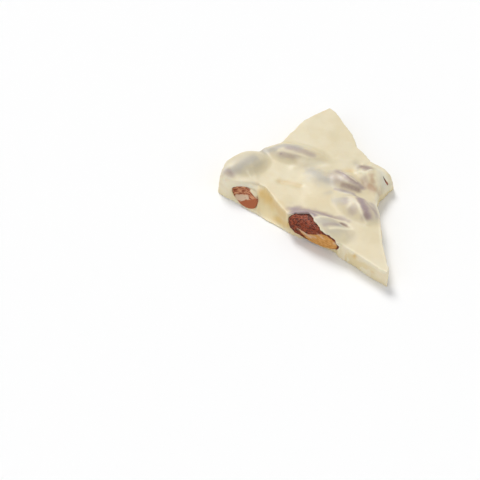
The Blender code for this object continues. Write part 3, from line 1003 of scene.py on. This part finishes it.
def skin_weave(almond, along, across, up):
    """Where each point lies in the grain of the skin, which runs along it, or along a cut butt's arch."""
    if almond.end_cut is not None:
        arched = up + ARCH_BEND * across * across
        return points_at(across / ARCH_STRETCH, arched * ARCH_STREAKS, 0)
    rings, sides = along.shape
    angle = np.linspace(0, 2 * math.pi, sides, endpoint=False)
    girth = almond_section(ring_places(rings))[:, None] * almond.width / 2
    return points_at(along / SKIN_STRETCH, girth * np.cos(angle), girth * np.sin(angle))


def almond_piece(name, almond, rings, sides, material):
    """One almond as it shows: a wrinkled skin, and flesh where it broke."""
    along, across, up = almond_shape(almond, rings, sides)
    base = placed(almond, along, across, up)
    bm = closed_rings(base)
    face_outwards(bm)
    bm.normal_update()
    bm.verts.ensure_lookup_table()
    normals = np.array([v.normal for v in bm.verts])[: rings * sides].reshape(base.shape)
    marks = {mask: np.zeros(along.shape) for mask in ("flesh", "pale", "ruddy", "smear")}
    if almond.flesh_cut is not None:
        marks.update(flesh_marks(almond, along, across, up))
    if almond.end_cut is not None:
        marks.update(butt_marks(almond, along, across, up))
    smooth = np.max(list(marks.values()), axis=0)
    marks["bright"] = np.full(along.shape, float(almond is LEFT))
    weave = skin_weave(almond, along, across, up)
    furrow = np.zeros(along.shape)
    for number, (length, depth) in enumerate(WRINKLES):
        furrow -= depth * (1 - FURROW * np.abs(grain(weave, length, WRINKLE_SEED + number)))
    lumps = LUMP_DEPTH * grain(weave, LUMP_LENGTH, LUMP_SEED)
    push = (1 - smooth) * furrow + smooth * (lumps - FLESH_SINK)
    shifted = base + normals * push[..., None]
    for vert, point in zip(bm.verts, shifted.reshape(-1, 3)):
        vert.co = point
    made = new_object(name, bm)
    tips = len(made.data.vertices) - rings * sides
    for mask, values in marks.items():
        add_mask(made, mask, np.append(values, np.zeros(tips)))
    skin_at = made.data.attributes.new("skin_at", "FLOAT_VECTOR", "POINT")
    skin_at.data.foreach_set("vector", np.append(weave, np.zeros((tips, 3))).astype(np.float32))
    finish_mesh(made, material)
    return made


class Nodes:
    """Short ways to add and join the nodes of one material."""

    def __init__(self, name):
        self.material = bpy.data.materials.new(name)
        self.material.use_nodes = True
        self.tree = self.material.node_tree
        self.shader = self.tree.nodes["Principled BSDF"]

    def add(self, kind, **settings):
        node = self.tree.nodes.new(kind)
        for key, value in settings.items():
            setattr(node, key, value)
        return node

    def join(self, source, target):
        self.tree.links.new(source, target)

    def give(self, values):
        """Sets the shader's inputs by name."""
        for name, value in values.items():
            self.shader.inputs[name].default_value = value

    def mask(self, name):
        return self.add("ShaderNodeAttribute", attribute_name=name).outputs["Fac"]

    def vector(self, name):
        return self.add("ShaderNodeAttribute", attribute_name=name).outputs["Vector"]

    def place(self):
        return self.add("ShaderNodeTexCoord").outputs["Object"]

    def speckle(self, where, scale, detail, roughness):
        node = self.add("ShaderNodeTexNoise")
        node.inputs["Scale"].default_value = scale
        node.inputs["Detail"].default_value = detail
        node.inputs["Roughness"].default_value = roughness
        self.join(where, node.inputs["Vector"])
        return node.outputs["Fac"]

    def math(self, operation, a, b):
        """a and b are each a number or a socket."""
        node = self.add("ShaderNodeMath", operation=operation)
        for slot, value in zip(node.inputs, (a, b)):
            if isinstance(value, (int, float)):
                slot.default_value = value
            else:
                self.join(value, slot)
        return node.outputs[0]

    def ramp(self, value, span, ends=(0, 1)):
        """value, eased from the first of ends to the second as it crosses span."""
        node = self.add("ShaderNodeMapRange", interpolation_type="SMOOTHSTEP")
        for slot, number in zip(node.inputs[1:5], (*span, *ends)):
            slot.default_value = number
        self.join(value, node.inputs[0])
        return node.outputs[0]

    def mix(self, share, under, over):
        """under, turning to over by share. Each colour is display values or a socket."""
        node = self.add("ShaderNodeMix", data_type="RGBA")
        self.join(share, node.inputs[0])
        for slot, value in zip((node.inputs[6], node.inputs[7]), (under, over)):
            if isinstance(value, tuple):
                slot.default_value = (*linear(value), 1)
            else:
                self.join(value, slot)
        return node.outputs[2]

    def bump(self, height, distance, strength, normal=None):
        node = self.add("ShaderNodeBump")
        node.inputs["Strength"].default_value = strength
        node.inputs["Distance"].default_value = distance
        self.join(height, node.inputs["Height"])
        if normal is not None:
            self.join(normal, node.inputs["Normal"])
        return node.outputs["Normal"]

    def colour(self, socket):
        self.join(socket, self.shader.inputs["Base Color"])


# Display colours of the chocolate, and of what tints it
CREAM = (222, 211, 181)
CREAM_DEEP = (217, 204, 170)
TINTS = (
    # The broken faces are yellower, and lifted in part as painted light for the light the lamps don't give
    # them
    ("face", (228, 212, 170)),
    # grey, dark, warm and yellow each also carry some painted shade, and pale some painted light and a
    # painted highlight
    ("grey", (188, 182, 170)),
    ("mauve", (160, 141, 143)),
    ("dark", (152, 132, 121)),
    ("warm", (190, 163, 134)),
    ("yellow", (218, 184, 114)),
    ("pale", (237, 228, 203)),
    ("stain", (178, 88, 68)),
)

# Its noises, each with its scale, detail and roughness, the span of a noise that is read, and what the
# strength of the tints and the roughness vary between, which is greater on a broken face
BROAD_NOISE = (110, 3, 0.5)
FINE_NOISE = (1400, 3, 0.6)
CRUMB_NOISE = (3200, 2, 0.6)
MOTTLED = (0.35, 0.65)
MIDDLING = (0.3, 0.7)
TINT_STRENGTHS = (0.92, 1.06)
ROUGHNESSES = (0.38, 0.5)
FACE_ROUGHER = 0.18

# Its bumps, each with its distance in metres and its strength, and its body
SOFT_BUMP = (0.00009, 0.35)
CRUMB_BUMP = (0.00012, 0.7)
CHOCOLATE_BODY = {
    "Subsurface Weight": 0.25,
    "Subsurface Radius": (1, 0.75, 0.45),
    "Subsurface Scale": 0.0012,
    "Specular IOR Level": 0.4,
}


def chocolate_material():
    """Creamy chocolate, tinted by the slab's masks, some of which paint light and shade, and crumbly on
    its broken faces.
    """
    made = Nodes("white_chocolate")
    place = made.place()
    broad = made.speckle(place, *BROAD_NOISE)
    fine = made.speckle(place, *FINE_NOISE)
    colour = made.mix(made.ramp(broad, MOTTLED), CREAM, CREAM_DEEP)
    uneven = made.ramp(fine, MIDDLING, TINT_STRENGTHS)
    for name, tint in TINTS:
        share = made.math("MULTIPLY", made.mask(name), uneven)
        colour = made.mix(share, colour, tint)
    made.colour(colour)
    face = made.mask("face")
    rougher = made.math("MULTIPLY", face, FACE_ROUGHER)
    rough = made.math("ADD", rougher, made.ramp(broad, MIDDLING, ROUGHNESSES))
    made.join(rough, made.shader.inputs["Roughness"])
    crumbs = made.math("MULTIPLY", made.speckle(place, *CRUMB_NOISE), face)
    normal = made.bump(crumbs, *CRUMB_BUMP, made.bump(fine, *SOFT_BUMP))
    made.join(normal, made.shader.inputs["Normal"])
    made.give(CHOCOLATE_BODY)
    return made.material


# Display colours of the almonds
SKIN_DARK = (70, 24, 13)
SKIN_MID = (150, 66, 36)
SKIN_LIGHT = (216, 164, 138)
BRIGHT_DARK = (146, 74, 46)
BRIGHT_LIGHT = (222, 160, 120)
FLESH_TINT = (222, 168, 96)
FLESH_DEEP = (194, 134, 68)
FLESH_PALE = (216, 188, 160)
RUDDY_TINT = (172, 98, 62)

# Their noises, each with its scale, detail and roughness, and the spans of them where the skin lightens,
# a bright skin too, and where the flesh deepens
STRAND_NOISE = (1.3, 4, 0.65)
FLECK_NOISE = (3.5, 3, 0.6)
STRANDED = (0.4, 0.58)
FLECKED = (0.56, 0.68)
FLECK_STRENGTH = 0.62
BRIGHTENED = (0.4, 0.6)
SKIN_ROUGHNESSES = (0.45, 0.65)

# Their bumps, each with its distance in metres and its strength, and their body
STRAND_BUMP = (0.00025, 0.6)
FLECK_BUMP = (0.0001, 0.5)
ALMOND_BODY = {
    "Specular IOR Level": 0.2,
    "Subsurface Weight": 0.08,
    "Subsurface Radius": (1, 0.5, 0.3),
    "Subsurface Scale": 0.0006,
}


def almond_material():
    """Brown wrinkled skin, with flesh, ruddy and pale parts and a smear of chocolate by the masks."""
    made = Nodes("almond_skin")
    place = made.vector("skin_at")
    strands = made.speckle(place, *STRAND_NOISE)
    flecks = made.speckle(place, *FLECK_NOISE)
    skin = made.mix(made.ramp(strands, STRANDED), SKIN_DARK, SKIN_MID)
    skin = made.mix(made.math("MULTIPLY", made.ramp(flecks, FLECKED), FLECK_STRENGTH), skin, SKIN_LIGHT)
    bright = made.mix(made.ramp(strands, BRIGHTENED), BRIGHT_DARK, BRIGHT_LIGHT)
    skin = made.mix(made.mask("bright"), skin, bright)
    flesh = made.mix(made.ramp(strands, MOTTLED), FLESH_TINT, FLESH_DEEP)
    colour = made.mix(made.mask("ruddy"), skin, RUDDY_TINT)
    colour = made.mix(made.mask("flesh"), colour, flesh)
    colour = made.mix(made.mask("pale"), colour, FLESH_PALE)
    colour = made.mix(made.mask("smear"), colour, CREAM)
    made.colour(colour)
    made.join(made.ramp(flecks, MIDDLING, SKIN_ROUGHNESSES), made.shader.inputs["Roughness"])
    normal = made.bump(flecks, *FLECK_BUMP, made.bump(strands, *STRAND_BUMP))
    made.join(normal, made.shader.inputs["Normal"])
    made.give(ALMOND_BODY)
    return made.material


def hollowed(slab, cutters):
    """The slab with the cutters taken out of it for good."""
    for cutter in cutters:
        modifier = slab.modifiers.new(cutter.name, "BOOLEAN")
        modifier.operation = "DIFFERENCE"
        modifier.object = cutter
        modifier.solver = "EXACT"
    graph = bpy.context.evaluated_depsgraph_get()
    mesh = bpy.data.meshes.new_from_object(slab.evaluated_get(graph))
    slab.modifiers.clear()
    slab.data = mesh
    for cutter in cutters:
        bpy.data.objects.remove(cutter)


def bark_piece(material):
    """The slab of chocolate, with the pockets of its three almonds and the crack."""
    bm, rim = slab_mesh()
    slab = new_object("bark_chocolate", bm)
    cutters = []
    for side, almond in (("front", FRONT), ("left", LEFT), ("right", RIGHT_BODY)):
        points = placed(almond, *almond_shape(almond, *POCKET_GRID, POCKET_GAP))
        cutters.append(new_object(f"pocket_{side}", closed_rings(points)))
    cutters.append(new_object("crack", crack_mesh()))
    hollowed(slab, cutters)
    colour_slab(slab, rim)
    finish_mesh(slab, material)
    return slab


# The camera: the point it looks at, how far up and away it stands, and how its picture is framed
CAMERA_TARGET = Vector((-0.023497, -0.021968, 0))
CAMERA_ELEVATION = 42
CAMERA_DISTANCE = 0.55
CAMERA_LENS = 119.625
SENSOR = 36
CAMERA_CLIP = (0.01, 20)

# The lamps: energy, how wide each looks in degrees, and which way it shines
LAMPS = (
    ("softbox", 2, 24, (0.34, -0.95, -1)),
    ("left_fill", 0.65, 70, (0.62, 0.6, -0.5)),
    ("right_fill", 0.5, 70, (-0.7, 0.5, -0.5)),
)
WORLD_LIGHT = {"Color": (1, 1, 1, 1), "Strength": 0.42}

# The floor: how far it reaches each way, how far it lies below the piece, and its look
FLOOR_REACH = 1.5
FLOOR_DROP = 0.00002
FLOOR_LOOK = {"Base Color": (0.94, 0.94, 0.94, 1), "Roughness": 0.9}


def make_floor(scene):
    """A plain white floor."""
    mesh = bpy.data.meshes.new("floor")
    half = FLOOR_REACH
    corners = [(-half, -half, 0), (half, -half, 0), (half, half, 0), (-half, half, 0)]
    mesh.from_pydata(corners, [], [(0, 1, 2, 3)])
    look = Nodes("floor")
    look.give(FLOOR_LOOK)
    mesh.materials.append(look.material)
    floor = bpy.data.objects.new("floor", mesh)
    floor.location.z = -FLOOR_DROP
    scene.collection.objects.link(floor)


def make_lights(scene):
    """Soft light from the upper left and behind, with weak fill from both sides of the front."""
    world = bpy.data.worlds.new("studio")
    world.use_nodes = True
    for name, value in WORLD_LIGHT.items():
        world.node_tree.nodes["Background"].inputs[name].default_value = value
    scene.world = world
    for name, energy, angle, direction in LAMPS:
        sun = bpy.data.lights.new(name, "SUN")
        sun.energy = energy
        sun.angle = math.radians(angle)
        lamp = bpy.data.objects.new(name, sun)
        lamp.rotation_euler = Vector(direction).to_track_quat("-Z", "Y").to_euler()
        scene.collection.objects.link(lamp)


def make_camera(scene):
    """The camera at the photo's angle."""
    camera_data = bpy.data.cameras.new("camera")
    camera_data.lens = CAMERA_LENS
    camera_data.sensor_width = SENSOR
    camera_data.clip_start, camera_data.clip_end = CAMERA_CLIP
    camera = bpy.data.objects.new("camera", camera_data)
    elevation = math.radians(CAMERA_ELEVATION)
    back = Vector((0, -math.cos(elevation), math.sin(elevation)))
    camera.location = CAMERA_TARGET + back * CAMERA_DISTANCE
    camera.rotation_euler = (math.pi / 2 - elevation, 0, 0)
    scene.collection.objects.link(camera)
    scene.camera = camera


def make_stage():
    """The floor, the lights and the camera, with colours as they are."""
    scene = bpy.context.scene
    scene.view_settings.view_transform = "Standard"
    make_floor(scene)
    make_lights(scene)
    make_camera(scene)


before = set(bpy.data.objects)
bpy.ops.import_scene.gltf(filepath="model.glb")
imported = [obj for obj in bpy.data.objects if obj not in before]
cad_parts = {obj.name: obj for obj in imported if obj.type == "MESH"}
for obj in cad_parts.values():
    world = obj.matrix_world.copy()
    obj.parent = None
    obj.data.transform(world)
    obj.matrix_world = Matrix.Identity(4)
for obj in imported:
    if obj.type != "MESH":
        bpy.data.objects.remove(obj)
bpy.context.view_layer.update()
make_stage()
skin = almond_material()
pieces = (
    (bark_piece(chocolate_material()), "bark", "white_chocolate"),
    (almond_piece("front_almond", FRONT, 110, 150, skin), "almond_front", "almond_skin"),
    (almond_piece("left_almond", LEFT, 80, 110, skin), "almond_left", "almond_skin"),
    (almond_piece("right_almond", RIGHT_BODY, 60, 80, skin), "almond_right", "almond_skin"),
)
for piece, node, slot in pieces:
    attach(piece, "root")
    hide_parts(node)
